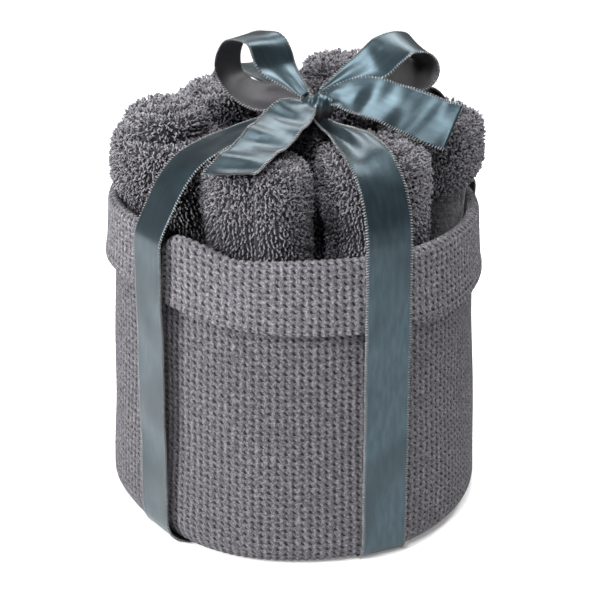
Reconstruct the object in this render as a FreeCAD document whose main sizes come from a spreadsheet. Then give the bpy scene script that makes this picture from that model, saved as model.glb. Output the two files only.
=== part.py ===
import FreeCAD, Part
import math
import os
import Sketcher

# A round basket of waffle cloth with a folded-down cuff, seven rolled terry towels
# standing in it, and a satin ribbon wrapped crosswise under the base and tied on top.
# Units are millimetres. Z is up, the basket's base is at Z = 0 and its axis is Z.
# The front faces -Y. An azimuth is counted from -Y towards +X.

os.makedirs("parts", exist_ok=True)
doc = FreeCAD.newDocument("towel_set")

DIMENSIONS = [
    # basket cloth
    ("rim_height", 119.0),
    ("rim_inner_radius", 66.1),
    ("base_outer_radius", 72.0),
    ("cloth_thickness", 2.2),
    ("cuff_drop", 28.0),
    ("cuff_gap", 0.3),
    ("cuff_flare", 0.9),
    ("bottom_round", 8.0),
    ("rim_round", 2.1),
    ("hem_round", 0.9),
    ("base_flange", 8.4),
    ("seam_gap", 0.3),
    ("thread_radius", 0.2),
    ("hem_line_rise", 3.0),
    # rolled towels
    ("towel_radius", 21.7),
    ("towel_ring_radius", 44.0),
    ("towel_foot", 2.6),
    ("towel_length", 147.4),
    ("towel_edge_round", 5.0),
    # ribbon
    ("ribbon_width", 18.0),
    ("ribbon_thickness", 0.45),
    ("knot_offset_x", 7.0),
    ("knot_offset_y", -10.0),
    ("channel_depth", 1.5),
    ("channel_width", 19.0),
    ("corner_reach", 9.0),
    ("leg_top_height", 150.4),
    ("leg_top_reach", 11.0),
    ("shoulder_reach", 8.4),
    # bow
    ("knot_height", 158.6),
    ("knot_half_length", 6.6),
    ("knot_half_depth", 6.0),
    ("knot_half_height", 6.2),
    ("loop_root_height", 163.0),
    ("loop_root_reach", 7.6),
    ("left_loop_reach", 23.0),
    ("left_loop_rise", 6.0),
    ("left_loop_radius", 12.0),
    ("right_loop_reach", 33.0),
    ("right_loop_rise", 10.0),
    ("right_loop_radius", 9.0),
    ("tail_start", 9.0),
    ("left_tail_end", 50.0),
    ("right_tail_end", 55.0),
    ("tail_height", 153.2),
    ("tail_arch", 2.4),
]

# azimuths of the ribbon's four legs and of the bow's loops and tails, seen from the knot
FRONT_LEFT = -55.5
FRONT_RIGHT = 26.0
BACK_RIGHT = FRONT_LEFT + 180.0
BACK_LEFT = FRONT_RIGHT + 180.0
LEFT_LOOP = -118.0
RIGHT_LOOP = 118.0
LEFT_TAIL = -32.0
RIGHT_TAIL = 72.7

# the outer ring of rolled towels: name and azimuth seen from the basket's axis
TOWELS = [
    ("towel_left", -78.0),
    ("towel_front_left", -18.4),
    ("towel_front_right", 41.3),
    ("towel_right", 101.2),
    ("towel_back_right", 161.5),
    ("towel_back_left", 221.8),
]

sheet = doc.addObject("Spreadsheet::Sheet", "dims")
for row, (alias, value) in enumerate(DIMENSIONS, start=1):
    sheet.set("A%d" % row, alias)
    sheet.set("B%d" % row, str(value))
    sheet.setAlias("B%d" % row, alias)
doc.recompute()

D = dict(DIMENSIONS)
WORD = "abcdefghijklmnopqrstuvwxyz_"    # the letters an alias is made of

probe = doc.addObject("App::FeaturePython", "probe")
probe.addProperty("App::PropertyFloat", "number")

nodes = []


def cells(text):
    """An expression written with the dimensions' names, with each one turned into its cell."""
    out = ""
    word = ""
    for letter in text + " ":
        if letter in WORD:
            word += letter
            continue
        out += "dims." + word if word in D else word
        word = ""
        out += letter
    return out.strip()


def number(text):
    """The number that an expression stands for, used as a sketch's first guess."""
    probe.setExpression("number", cells(text))
    probe.recompute()
    return probe.number


def new_body(label):
    body = doc.addObject("PartDesign::Body", label)
    body.Label = label
    nodes.append(body)
    return body


def origin_plane(body, role):
    return [feature for feature in body.Origin.OriginFeatures if feature.Role == role][0]


def new_sketch(body, name, role="XY_Plane"):
    sketch = body.newObject("Sketcher::SketchObject", name)
    sketch.AttachmentSupport = [(origin_plane(body, role), "")]
    sketch.MapMode = "FlatFace"
    return sketch


def pin_point(sketch, geometry, end, point):
    """Tie one point of a sketch to its two driving expressions."""
    for kind, text in zip(("DistanceX", "DistanceY"), point):
        rule = Sketcher.Constraint(kind, -1, 1, geometry, end, number(text))
        index = sketch.addConstraint(rule)
        sketch.setExpression("Constraints[%d]" % index, cells(text))


def outline(sketch, corners):
    """A closed outline of straight lines through corners that the cells drive."""
    points = [FreeCAD.Vector(number(x), number(y), 0) for x, y in corners]
    count = len(points)
    first = sketch.GeometryCount
    for i in range(count):
        sketch.addGeometry(Part.LineSegment(points[i], points[(i + 1) % count]), False)
    for i in range(count):
        after = first + (i + 1) % count
        sketch.addConstraint(Sketcher.Constraint("Coincident", first + i, 2, after, 1))
    for i, corner in enumerate(corners):
        pin_point(sketch, first + i, 1, corner)


def centred_circle(sketch, radius):
    circle = Part.Circle(FreeCAD.Vector(0, 0, 0), FreeCAD.Vector(0, 0, 1), number(radius))
    index = sketch.addGeometry(circle, False)
    sketch.addConstraint(Sketcher.Constraint("Coincident", index, 3, -1, 1))
    rule = sketch.addConstraint(Sketcher.Constraint("Radius", index, number(radius)))
    sketch.setExpression("Constraints[%d]" % rule, cells(radius))


def revolve(body, sketch, axis="V_Axis"):
    turn = body.newObject("PartDesign::Revolution", body.Label + "_turn")
    turn.Profile = sketch
    turn.ReferenceAxis = (sketch, [axis])
    turn.Angle = 360.0
    sketch.Visibility = False
    doc.recompute()
    return turn


def pad(body, sketch, length, midplane=False):
    feature = body.newObject("PartDesign::Pad", body.Label + "_pad")
    feature.Profile = sketch
    feature.SideType = "Symmetric" if midplane else "One side"
    feature.setExpression("Length", cells(length))
    sketch.Visibility = False
    doc.recompute()
    return feature


def round_edges(body, name, base, picks, radius):
    """Fillet the circular edges that lie at the given radii and heights."""
    names = []
    for i, edge in enumerate(base.Shape.Edges, start=1):
        curve = edge.Curve
        if not isinstance(curve, Part.Circle):
            continue
        for ring, height in picks:
            near = abs(curve.Radius - ring) < 0.01 and abs(curve.Center.z - height) < 0.01
            if near and "Edge%d" % i not in names:
                names.append("Edge%d" % i)
    feature = body.newObject("PartDesign::Fillet", name)
    feature.Base = (base, names)
    feature.setExpression("Radius", cells(radius))
    doc.recompute()
    return feature


def put(node, x="0", y="0", z="0", turn=0.0):
    """Place a node, its position driven by the cells and turned about Z to its azimuth."""
    node.Placement = FreeCAD.Placement(
        FreeCAD.Vector(0, 0, 0), FreeCAD.Rotation(FreeCAD.Vector(0, 0, 1), turn))
    for letter, text in zip("xyz", (x, y, z)):
        node.setExpression("Placement.Base." + letter, cells(text))


# ------------------------------------------------------------------ basket

WALL_TOP = "(rim_inner_radius + cloth_thickness)"
CUFF_TOP = "(rim_inner_radius + 2 * cloth_thickness + cuff_gap)"
CUFF_LOW = "(rim_inner_radius + 2 * cloth_thickness + cuff_gap + cuff_flare)"
HEM_Z = "(rim_height - cuff_drop)"
FLANGE = "(base_outer_radius - base_flange)"


def channels(body, name):
    """Hollow the underside where the two ribbon runs cross, so that they lie flush."""
    for i, azimuth in enumerate((FRONT_LEFT, FRONT_RIGHT), start=1):
        sketch = new_sketch(body, "%s_channel_%d" % (name, i))
        reach = "base_outer_radius + 20"
        half = "channel_width / 2"
        corners = [("-(%s)" % half, "-(%s)" % reach), (half, "-(%s)" % reach),
                   (half, reach), ("-(%s)" % half, reach)]
        outline(sketch, corners)
        sketch.AttachmentOffset = FreeCAD.Placement(
            FreeCAD.Vector(D["knot_offset_x"], D["knot_offset_y"], 0),
            FreeCAD.Rotation(FreeCAD.Vector(0, 0, 1), azimuth))
        pocket = body.newObject("PartDesign::Pocket", "%s_pocket_%d" % (name, i))
        pocket.Profile = sketch
        pocket.Reversed = True
        pocket.setExpression("Length", cells("channel_depth"))
        sketch.Visibility = False
        doc.recompute()


side = new_body("basket_side")
side_sketch = new_sketch(side, "side_profile", "XZ_Plane")
outline(side_sketch, [
    ("rim_inner_radius", "rim_height"),
    (CUFF_TOP, "rim_height"),
    (CUFF_LOW, HEM_Z),
    (CUFF_LOW + " - cloth_thickness", HEM_Z),
    (WALL_TOP + " + cuff_gap", "rim_height - cloth_thickness"),
    (WALL_TOP, "rim_height - cloth_thickness"),
    ("base_outer_radius", "0"),
    (FLANGE, "0"),
    (FLANGE, "cloth_thickness"),
    ("base_outer_radius - cloth_thickness", "cloth_thickness"),
])
side_turn = revolve(side, side_sketch)
hem_z = number(HEM_Z)
rim_z = D["rim_height"]
cloth = D["cloth_thickness"]
base_r = D["base_outer_radius"]
rim_edges = [(D["rim_inner_radius"], rim_z), (number(CUFF_TOP), rim_z)]
hem_edges = [(number(CUFF_LOW), hem_z), (number(CUFF_LOW) - cloth, hem_z)]
step = round_edges(side, "rim_fold", side_turn, rim_edges, "rim_round")
step = round_edges(side, "hem_edge", step, hem_edges, "hem_round")
step = round_edges(side, "bottom_outer", step, [(base_r, 0.0)], "bottom_round")
inner_bend = "bottom_round - cloth_thickness"
round_edges(side, "bottom_inner", step, [(base_r - cloth, cloth)], inner_bend)
channels(side, "side")

base = new_body("basket_base")
base_sketch = new_sketch(base, "base_disc")
centred_circle(base_sketch, FLANGE + " - seam_gap")
pad(base, base_sketch, "cloth_thickness")
channels(base, "base")

hem_thread = doc.addObject("Part::Torus", "hem_thread")
hem_thread.Label = "hem_thread"
hem_thread.setExpression("Radius1", cells(CUFF_LOW + " + thread_radius"))
hem_thread.setExpression("Radius2", cells("thread_radius"))
put(hem_thread, z=HEM_Z + " + hem_line_rise")
nodes.append(hem_thread)

seam_thread = doc.addObject("Part::Torus", "base_seam_thread")
seam_thread.Label = "base_seam_thread"
seam_thread.setExpression("Radius1", cells(FLANGE + " - seam_gap / 2"))
seam_thread.setExpression("Radius2", cells("thread_radius"))
put(seam_thread, z="cloth_thickness + thread_radius")
nodes.append(seam_thread)

# ------------------------------------------------------------------ rolled towels


def rolled_towel(label, azimuth, ring):
    body = new_body(label)
    sketch = new_sketch(body, label + "_section")
    centred_circle(sketch, "towel_radius")
    column = pad(body, sketch, "towel_length")
    radius = D["towel_radius"]
    ends = [(radius, 0.0), (radius, D["towel_length"])]
    round_edges(body, label + "_ends", column, ends, "towel_edge_round")
    across = math.sin(math.radians(azimuth))
    forward = -math.cos(math.radians(azimuth))
    put(body, "%s * %.9f" % (ring, across), "%s * %.9f" % (ring, forward), "towel_foot")


for label, azimuth in TOWELS:
    rolled_towel(label, azimuth, "towel_ring_radius")
rolled_towel("towel_centre", 0.0, "0")

# ------------------------------------------------------------------ ribbon under the base and legs


def seat_distance(azimuth):
    """How far from the knot's axis a flat ribbon leg clears the basket, plus a little."""
    along = (math.sin(math.radians(azimuth)), -math.cos(math.radians(azimuth)))
    centre = (-D["knot_offset_x"], -D["knot_offset_y"])
    forward = centre[0] * along[0] + centre[1] * along[1]
    sideways = abs(centre[0] * along[1] - centre[1] * along[0])
    nearest = max(0.0, sideways - D["ribbon_width"] / 2)
    radius = D["base_outer_radius"] + 0.4
    return forward + math.sqrt(radius ** 2 - nearest ** 2)


def base_run(label, azimuth, height):
    """A flat run of ribbon across the underside, from one leg to the opposite one."""
    body = new_body(label)
    sketch = new_sketch(body, label + "_outline")
    half = "ribbon_width / 2"
    front = seat_distance(azimuth) - D["corner_reach"] - 0.1
    back = seat_distance(azimuth + 180.0) - D["corner_reach"] - 0.1
    outline(sketch, [
        ("-(%s)" % half, "-%.4f" % front), (half, "-%.4f" % front),
        (half, "%.4f" % back), ("-(%s)" % half, "%.4f" % back),
    ])
    pad(body, sketch, "ribbon_thickness")
    put(body, "knot_offset_x", "knot_offset_y", height, azimuth)


LOWER_RUN = "0.15"
UPPER_RUN = "0.3 + ribbon_thickness"


def leg(label, azimuth, height):
    """One leg: round the bottom corner, up beside the basket and over the towels."""
    body = new_body(label)
    sketch = new_sketch(body, label + "_profile", "YZ_Plane")
    seat = seat_distance(azimuth)
    shoulder = "leg_top_height - shoulder_reach"
    start = "-(%.4f - corner_reach)" % seat
    inner_y = "-%.4f" % seat
    outer_y = "-(%.4f + ribbon_thickness)" % seat
    top = "leg_top_height + ribbon_thickness"
    outline(sketch, [
        (start, height),
        ("-(%.4f - 2)" % seat, height),
        (outer_y, height + " + 3.5"),
        (outer_y, shoulder),
        ("-(%.4f - shoulder_reach)" % seat, top),
        ("-leg_top_reach", top),
        ("-leg_top_reach", "leg_top_height"),
        ("-(%.4f - shoulder_reach - 0.2)" % seat, "leg_top_height"),
        (inner_y, shoulder + " - 0.2"),
        (inner_y, height + " + 3.7"),
        ("-(%.4f - 2.2)" % seat, height + " + ribbon_thickness"),
        (start, height + " + ribbon_thickness"),
    ])
    pad(body, sketch, "ribbon_width", midplane=True)
    put(body, "knot_offset_x", "knot_offset_y", "0", azimuth)


base_run("ribbon_run_lower", FRONT_LEFT, LOWER_RUN)
base_run("ribbon_run_upper", FRONT_RIGHT, UPPER_RUN)
leg("ribbon_leg_front_left", FRONT_LEFT, LOWER_RUN)
leg("ribbon_leg_back_right", BACK_RIGHT, LOWER_RUN)
leg("ribbon_leg_front_right", FRONT_RIGHT, UPPER_RUN)
leg("ribbon_leg_back_left", BACK_LEFT, UPPER_RUN)

# ------------------------------------------------------------------ bow

knot = doc.addObject("Part::Ellipsoid", "bow_knot")
knot.Label = "bow_knot"
knot.setExpression("Radius1", cells("knot_half_height"))
knot.setExpression("Radius2", cells("knot_half_length"))
knot.setExpression("Radius3", cells("knot_half_depth"))
put(knot, "knot_offset_x", "knot_offset_y", "knot_height")
nodes.append(knot)

LOOP_SIDES = 14


def loop(label, azimuth, reach, rise, radius):
    """A loop of ribbon: two straight runs from the knot joined by a round end."""
    body = new_body(label)
    sketch = new_sketch(body, label + "_profile", "YZ_Plane")
    tilt = math.atan2(D[rise], D[reach] - D["loop_root_reach"])
    run = math.hypot(D[rise], D[reach] - D["loop_root_reach"])
    spread = math.acos(D[radius] / run)
    corners = [("-loop_root_reach", "0")]
    for i in range(LOOP_SIDES + 1):
        angle = math.pi + tilt - spread - i * (2 * math.pi - 2 * spread) / LOOP_SIDES
        corners.append((
            "-(%s) - %s * %.9f" % (reach, radius, math.cos(angle)),
            "%s + %s * %.9f" % (rise, radius, math.sin(angle)),
        ))
    outline(sketch, corners)
    pad(body, sketch, "ribbon_width", midplane=True)
    inner = new_sketch(body, label + "_hollow", "YZ_Plane")
    thin = "(%s - ribbon_thickness)" % radius
    root = "-loop_root_reach - ribbon_thickness * %.9f" % (run / D[radius])
    hollow = [(root, "ribbon_thickness * %.9f" % (math.tan(tilt) * run / D[radius]))]
    for x_text, z_text in corners[1:]:
        hollow.append((x_text.replace(" - %s *" % radius, " - %s *" % thin),
                       z_text.replace("+ %s *" % radius, "+ %s *" % thin)))
    outline(inner, hollow)
    pocket = body.newObject("PartDesign::Pocket", label + "_opening")
    pocket.Profile = inner
    pocket.SideType = "Symmetric"
    pocket.setExpression("Length", cells("ribbon_width * 2"))
    inner.Visibility = False
    doc.recompute()
    put(body, "knot_offset_x", "knot_offset_y", "loop_root_height", azimuth)


loop("bow_loop_left", LEFT_LOOP, "left_loop_reach", "left_loop_rise", "left_loop_radius")
loop("bow_loop_right", RIGHT_LOOP, "right_loop_reach", "right_loop_rise", "right_loop_radius")


def tail(label, azimuth, end):
    """A free end of the ribbon, arched a little above the towels."""
    body = new_body(label)
    sketch = new_sketch(body, label + "_profile", "YZ_Plane")
    third = "(tail_start + (%s - tail_start) / 3)" % end
    two_thirds = "(tail_start + 2 * (%s - tail_start) / 3)" % end
    rises = [("tail_start", "0"), (third, "tail_arch"),
             (two_thirds, "tail_arch"), (end, "0")]
    lower = [("-(%s)" % reach, rise) for reach, rise in rises]
    upper = [("-(%s)" % reach, rise + " + ribbon_thickness") for reach, rise in rises]
    outline(sketch, lower + upper[::-1])
    pad(body, sketch, "ribbon_width", midplane=True)
    put(body, "knot_offset_x", "knot_offset_y", "tail_height", azimuth)


tail("bow_tail_left", LEFT_TAIL, "left_tail_end")
tail("bow_tail_right", RIGHT_TAIL, "right_tail_end")

# ------------------------------------------------------------------ check and write

doc.removeObject("probe")
doc.recompute()
for item in doc.Objects:
    if "Invalid" in item.State or "Error" in item.State:
        raise RuntimeError("%s: %s" % (item.Name, item.State))
for node in nodes:
    shape = node.Shape
    if shape.isNull() or not shape.isValid() or len(shape.Solids) != 1:
        raise RuntimeError("bad shape: " + node.Label)
    shape.exportStep("parts/%s.step" % node.Label)
    box = shape.BoundBox
    print("%-24s %9.1f mm3  z %7.2f to %7.2f" % (node.Label, shape.Volume, box.ZMin, box.ZMax))
print(len(nodes), "nodes")
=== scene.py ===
import math
import bpy
import numpy as np
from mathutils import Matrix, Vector


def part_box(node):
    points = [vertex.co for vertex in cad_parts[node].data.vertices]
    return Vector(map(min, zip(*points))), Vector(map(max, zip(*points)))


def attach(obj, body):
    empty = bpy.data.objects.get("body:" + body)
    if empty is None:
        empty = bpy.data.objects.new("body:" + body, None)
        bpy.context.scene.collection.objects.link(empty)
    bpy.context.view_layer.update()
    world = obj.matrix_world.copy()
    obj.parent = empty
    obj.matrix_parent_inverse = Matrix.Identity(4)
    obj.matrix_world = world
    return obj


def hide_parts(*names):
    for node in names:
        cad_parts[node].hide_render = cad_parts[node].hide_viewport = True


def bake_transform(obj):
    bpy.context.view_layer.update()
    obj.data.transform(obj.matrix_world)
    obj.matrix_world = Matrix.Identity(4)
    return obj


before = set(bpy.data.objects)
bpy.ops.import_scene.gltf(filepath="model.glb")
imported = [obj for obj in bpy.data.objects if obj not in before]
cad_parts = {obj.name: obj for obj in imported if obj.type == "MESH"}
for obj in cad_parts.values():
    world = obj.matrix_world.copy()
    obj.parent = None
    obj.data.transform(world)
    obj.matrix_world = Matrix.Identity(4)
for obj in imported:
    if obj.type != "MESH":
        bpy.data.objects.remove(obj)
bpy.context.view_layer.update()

MM = 0.001


# ---------------------------------------------------------------- places read from the frame

def box_mm(node):
    low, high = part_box(node)
    return np.array(low) / MM, np.array(high) / MM


def centre_mm(node):
    low, high = box_mm(node)
    return (low + high) / 2


# Lengths are in millimetres. Azimuths are in degrees, or in radians where a function's
# argument is called azimuths, and go from the front (-Y) towards +X.
SIDE_LOW, SIDE_HIGH = box_mm("basket_side")
RIM = SIDE_HIGH[2]
BASE_R = (SIDE_HIGH[0] - SIDE_LOW[0]) / 2 + 0.3     # outside of the wall at the bottom
WALL_TOP_R = 68.3       # outside of the wall at the rim
CUFF_TOP_R = 70.8       # outside of the cuff at the rim
CUFF_LOW_R = 71.8       # outside of the cuff at its lower edge
CUFF_DROP = 28.0        # from the rim down to the cuff's lower edge
CLOTH = 2.2             # thickness of the waffle cloth
FLANGE = 8.4            # how far the wall's cloth turns in under the base
KNOT = centre_mm("bow_knot")
RIBBON_W = 18.0
FRONT_LEFT, FRONT_RIGHT = -55.5, 26.0   # azimuths of the two front legs
LEG_SINK = 0.25         # how far the legs press in from the CAD legs' outside


def heading(azimuth):
    """The level direction at an azimuth."""
    a = math.radians(azimuth)
    return np.array([math.sin(a), -math.cos(a), 0.0])


def reach_of(node, azimuth):
    """How far a CAD node stands out from the knot's axis along an azimuth."""
    points = np.array([v.co[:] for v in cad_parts[node].data.vertices]) / MM
    return float(((points[:, :2] - KNOT[:2]) @ heading(azimuth)[:2]).max())


LEGS = {
    "ribbon_leg_front_left": FRONT_LEFT,
    "ribbon_leg_front_right": FRONT_RIGHT,
    "ribbon_leg_back_right": FRONT_LEFT + 180,
    "ribbon_leg_back_left": FRONT_RIGHT + 180,
}
SEATS = {node: reach_of(node, azimuth) - LEG_SINK for node, azimuth in LEGS.items()}


# ---------------------------------------------------------------- mesh helpers

def smooth(x, low, high):
    """0 below low and 1 above high, with a soft step between them."""
    k = np.clip((np.asarray(x, float) - low) / (high - low), 0, 1)
    return k * k * (3 - 2 * k)


def make_object(name, verts, faces, materials, indices=None, uv=None):
    """A mesh object from millimetre points. uv holds one pair per face corner."""
    mesh = bpy.data.meshes.new(name)
    faces = np.asarray(faces, np.int32)
    count, sides = faces.shape
    mesh.vertices.add(len(verts))
    mesh.vertices.foreach_set("co", (np.asarray(verts, np.float32) * MM).ravel())
    mesh.loops.add(count * sides)
    mesh.loops.foreach_set("vertex_index", faces.ravel())
    mesh.polygons.add(count)
    mesh.polygons.foreach_set("loop_start", np.arange(0, count * sides, sides, dtype=np.int32))
    if indices is not None:
        mesh.polygons.foreach_set("material_index", np.asarray(indices, np.int32))
    if uv is not None:
        layer = mesh.uv_layers.new(name="weave")
        layer.data.foreach_set("uv", np.asarray(uv, np.float32).ravel())
    for material in materials:
        mesh.materials.append(material)
    mesh.update(calc_edges=True)
    mesh.validate()
    mesh.polygons.foreach_set("use_smooth", [True] * len(mesh.polygons))
    obj = bpy.data.objects.new(name, mesh)
    bpy.context.scene.collection.objects.link(obj)
    return obj


def grid_faces(rows, cols, wrap_rows=False, wrap_cols=False):
    """Quads of a grid whose point (i, j) is number i * cols + j, and each quad's four (i, j)."""
    ri = np.arange(rows if wrap_rows else rows - 1)
    cj = np.arange(cols if wrap_cols else cols - 1)
    i, j = [a.ravel() for a in np.meshgrid(ri, cj, indexing="ij")]
    corners_i = np.stack([i, i, i + 1, i + 1], 1)
    corners_j = np.stack([j, j + 1, j + 1, j], 1)
    return (corners_i % rows) * cols + corners_j % cols, corners_i, corners_j


STRAND_END = 0.55       # a strand's width at its ends, as a share of the rest


def strands(paths, radius, sides):
    """Tubes along many short paths at once. paths is (n, k, 3); returns points and quads."""
    paths = np.asarray(paths, float)
    n, k, _ = paths.shape
    along = np.gradient(paths, axis=1)
    along /= np.linalg.norm(along, axis=2, keepdims=True) + 1e-9
    chord = paths[:, -1] - paths[:, 0]
    bend = paths[:, k // 2] - (paths[:, 0] + paths[:, -1]) / 2
    side = np.cross(chord, bend)
    side += 1e-6
    side /= np.linalg.norm(side, axis=1, keepdims=True)
    side = np.repeat(side[:, None], k, 1)
    up = np.cross(along, side)
    up /= np.linalg.norm(up, axis=2, keepdims=True) + 1e-9
    width = np.asarray(radius, float).reshape(-1, 1, 1) * np.ones((n, k, 1))
    taper = np.ones(k)
    taper[0] = taper[-1] = STRAND_END
    width = width * taper[None, :, None]
    rings = []
    for s in range(sides):
        a = 2 * math.pi * s / sides
        rings.append(paths + width * (math.cos(a) * side + math.sin(a) * up))
    points = np.stack(rings, 2).reshape(-1, 3)
    seg, around = [a.ravel() for a in np.meshgrid(np.arange(k - 1), np.arange(sides), indexing="ij")]
    tube = np.stack([seg * sides + around, seg * sides + (around + 1) % sides,
                     (seg + 1) * sides + (around + 1) % sides, (seg + 1) * sides + around], 1)
    quads = (tube[None] + (np.arange(n) * k * sides)[:, None, None]).reshape(-1, 4)
    return points, quads


# ---------------------------------------------------------------- material helpers

class Nodes:
    """A material being wired up."""

    def __init__(self, name):
        self.material = bpy.data.materials.new(name)
        self.material.use_nodes = True
        self.tree = self.material.node_tree
        self.shader = self.tree.nodes["Principled BSDF"]

    def link(self, source, target):
        self.tree.links.new(source, target)

    def math(self, operation, a, b=None, c=None):
        node = self.tree.nodes.new("ShaderNodeMath")
        node.operation = operation
        for socket, value in zip(node.inputs, (a, b, c)):
            if value is None:
                continue
            if isinstance(value, (int, float)):
                socket.default_value = value
            else:
                self.link(value, socket)
        return node.outputs[0]

    def ramp(self, value, low, high, out_low=0.0, out_high=1.0):
        """A soft step from out_low at low to out_high at high."""
        node = self.tree.nodes.new("ShaderNodeMapRange")
        node.interpolation_type = "SMOOTHSTEP"
        self.link(value, node.inputs["Value"])
        node.inputs["From Min"].default_value = low
        node.inputs["From Max"].default_value = high
        node.inputs["To Min"].default_value = out_low
        node.inputs["To Max"].default_value = out_high
        return node.outputs[0]

    def mix(self, factor, a, b):
        node = self.tree.nodes.new("ShaderNodeMix")
        node.data_type = "RGBA"
        for name, value in (("Factor_Float", factor), ("A_Color", a), ("B_Color", b)):
            socket = [s for s in node.inputs if s.identifier == name][0]
            if isinstance(value, (int, float)):
                socket.default_value = value
            elif isinstance(value, tuple):
                socket.default_value = (*value, 1.0)
            else:
                self.link(value, socket)
        return [s for s in node.outputs if s.identifier == "Result_Color"][0]

    def noise(self, scale, detail, rough, vector=None, stretch=None):
        node = self.tree.nodes.new("ShaderNodeTexNoise")
        node.inputs["Scale"].default_value = scale
        node.inputs["Detail"].default_value = detail
        node.inputs["Roughness"].default_value = rough
        source = vector if vector is not None else self.place()
        if stretch:
            mapping = self.tree.nodes.new("ShaderNodeMapping")
            mapping.inputs["Scale"].default_value = stretch
            self.link(source, mapping.inputs["Vector"])
            source = mapping.outputs[0]
        self.link(source, node.inputs["Vector"])
        return node.outputs["Fac"]

    def place(self):
        """The object's own coordinates, in metres."""
        return self.tree.nodes.new("ShaderNodeTexCoord").outputs["Object"]

    def weave_uv(self):
        """The weave's coordinates, whole and as u and v."""
        uv = self.tree.nodes.new("ShaderNodeUVMap")
        uv.uv_map = "weave"
        split = self.tree.nodes.new("ShaderNodeSeparateXYZ")
        self.link(uv.outputs[0], split.inputs[0])
        return uv.outputs[0], split.outputs[0], split.outputs[1]

    def bump(self, height, strength, distance, normal=None):
        node = self.tree.nodes.new("ShaderNodeBump")
        node.inputs["Strength"].default_value = strength
        node.inputs["Distance"].default_value = distance
        self.link(height, node.inputs["Height"])
        if normal is not None:
            self.link(normal, node.inputs["Normal"])
        return node.outputs[0]


SLANT = 0.11            # lean of the waffle's pits, in columns


def waffle_material(name, light, dark, glint):
    """Puffs of cloth between slanted pits, with painted shade in the pits and grooves. Every second pit is
    deeper and shows a light thread, painted as a highlight in the glint colour.
    """
    m = Nodes(name)
    vector, u, v = m.weave_uv()
    lean = m.math("MULTIPLY", m.math("SINE", m.math("MULTIPLY", v, 4 * math.pi)), SLANT)
    drift = m.noise(0.8, 2, 0.6, vector, (1.0, 1.6, 1.0))
    leaned = m.math("ADD", m.math("ADD", u, lean), m.math("MULTIPLY_ADD", drift, 0.5, c=-0.25))
    v = m.math("ADD", v, m.math("MULTIPLY_ADD", m.noise(1.1, 1, 0.5, vector), 0.16, c=-0.08))

    def crest(value, period, shift=0.0):
        """1 at every whole period and 0 half way between."""
        phase = m.math("MULTIPLY_ADD", value, 2 * math.pi / period, c=shift)
        return m.math("MULTIPLY_ADD", m.math("COSINE", phase), 0.5, c=0.5)

    across = crest(leaned, 1.0)
    along = crest(v, 0.5)
    brick = m.math("MULTIPLY", m.math("COSINE", m.math("MULTIPLY", leaned, math.pi)),
                   m.math("COSINE", m.math("MULTIPLY", v, 2 * math.pi)))
    strong = m.math("MULTIPLY_ADD", brick, 0.22, c=0.78)
    pit = m.math("MULTIPLY", m.math("MULTIPLY", m.math("POWER", across, 4.5), along), strong)
    shaded_groove = m.math("MULTIPLY", across, m.math("MULTIPLY_ADD", along, 0.5, c=0.5))
    dash = m.math("MULTIPLY", m.math("POWER", across, 0.8), m.math("POWER", crest(v, 0.5, 2.1), 9.0))
    thread = m.math("MULTIPLY", m.ramp(dash, 0.45, 0.85), m.ramp(brick, 0.0, 0.8))
    yarn = m.noise(1.0, 3, 0.7, vector, (4.5, 6.0, 1.0))
    fibre = m.noise(1000, 4, 0.8)
    patch = m.noise(38, 3, 0.55)
    tone = m.mix(m.ramp(patch, 0.3, 0.7), tuple(c * 0.9 for c in light), tuple(c * 1.08 for c in light))
    tone = m.mix(m.ramp(yarn, 0.40, 0.62, 0.0, 0.75), tone, tuple(c * 0.36 for c in light))
    tone = m.mix(m.ramp(fibre, 0.47, 0.60, 0.0, 0.9), tone, tuple(c * 2.3 for c in light))
    # Painted shade: the grooves and then the pits are mixed towards the near-black dark colour, where shade
    # falls in them.
    tone = m.mix(m.math("MULTIPLY", shaded_groove, 0.50), tone, dark)
    tone = m.mix(m.ramp(pit, 0.16, 0.48, 0.0, 0.96), tone, dark)
    # Painted highlight: the thread in every second pit is mixed towards the light glint colour.
    tone = m.mix(m.math("MULTIPLY", thread, 0.6), tone, glint)
    m.link(tone, m.shader.inputs["Base Color"])
    m.link(m.ramp(fibre, 0.2, 0.8, 0.85, 1.0), m.shader.inputs["Roughness"])
    m.shader.inputs["Specular IOR Level"].default_value = 0.12
    m.shader.inputs["Sheen Weight"].default_value = 0.12
    m.shader.inputs["Sheen Roughness"].default_value = 0.5
    hollow = m.bump(m.math("ADD", pit, m.math("MULTIPLY", shaded_groove, 0.5)), 0.8, -0.0006)
    twist = m.bump(yarn, 1.0, 0.0011, hollow)
    m.link(m.bump(fibre, 1.0, 0.0009, twist), m.shader.inputs["Normal"])
    return m.material


def terry_material(name, light, dark):
    """Twisted cotton loops: clumps of light and dark, and single bright fibres."""
    m = Nodes(name)
    fibre = m.noise(1500, 3, 0.65)
    clump = m.noise(420, 2, 0.5)
    patch = m.noise(45, 2, 0.5)
    tone = m.mix(m.ramp(clump, 0.32, 0.66), dark, light)
    tone = m.mix(m.ramp(fibre, 0.38, 0.72, 0.0, 0.8), tone, tuple(c * 1.9 for c in light))
    tone = m.mix(m.ramp(patch, 0.35, 0.7, 0.0, 0.25), tone, dark)
    m.link(tone, m.shader.inputs["Base Color"])
    m.link(m.ramp(fibre, 0.2, 0.8, 0.75, 0.95), m.shader.inputs["Roughness"])
    m.shader.inputs["Specular IOR Level"].default_value = 0.3
    m.shader.inputs["Sheen Weight"].default_value = 0.25
    m.shader.inputs["Sheen Roughness"].default_value = 0.45
    coarse = m.bump(clump, 0.8, 0.0012)
    m.link(m.bump(fibre, 0.7, 0.0005, coarse), m.shader.inputs["Normal"])
    return m.material


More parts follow.
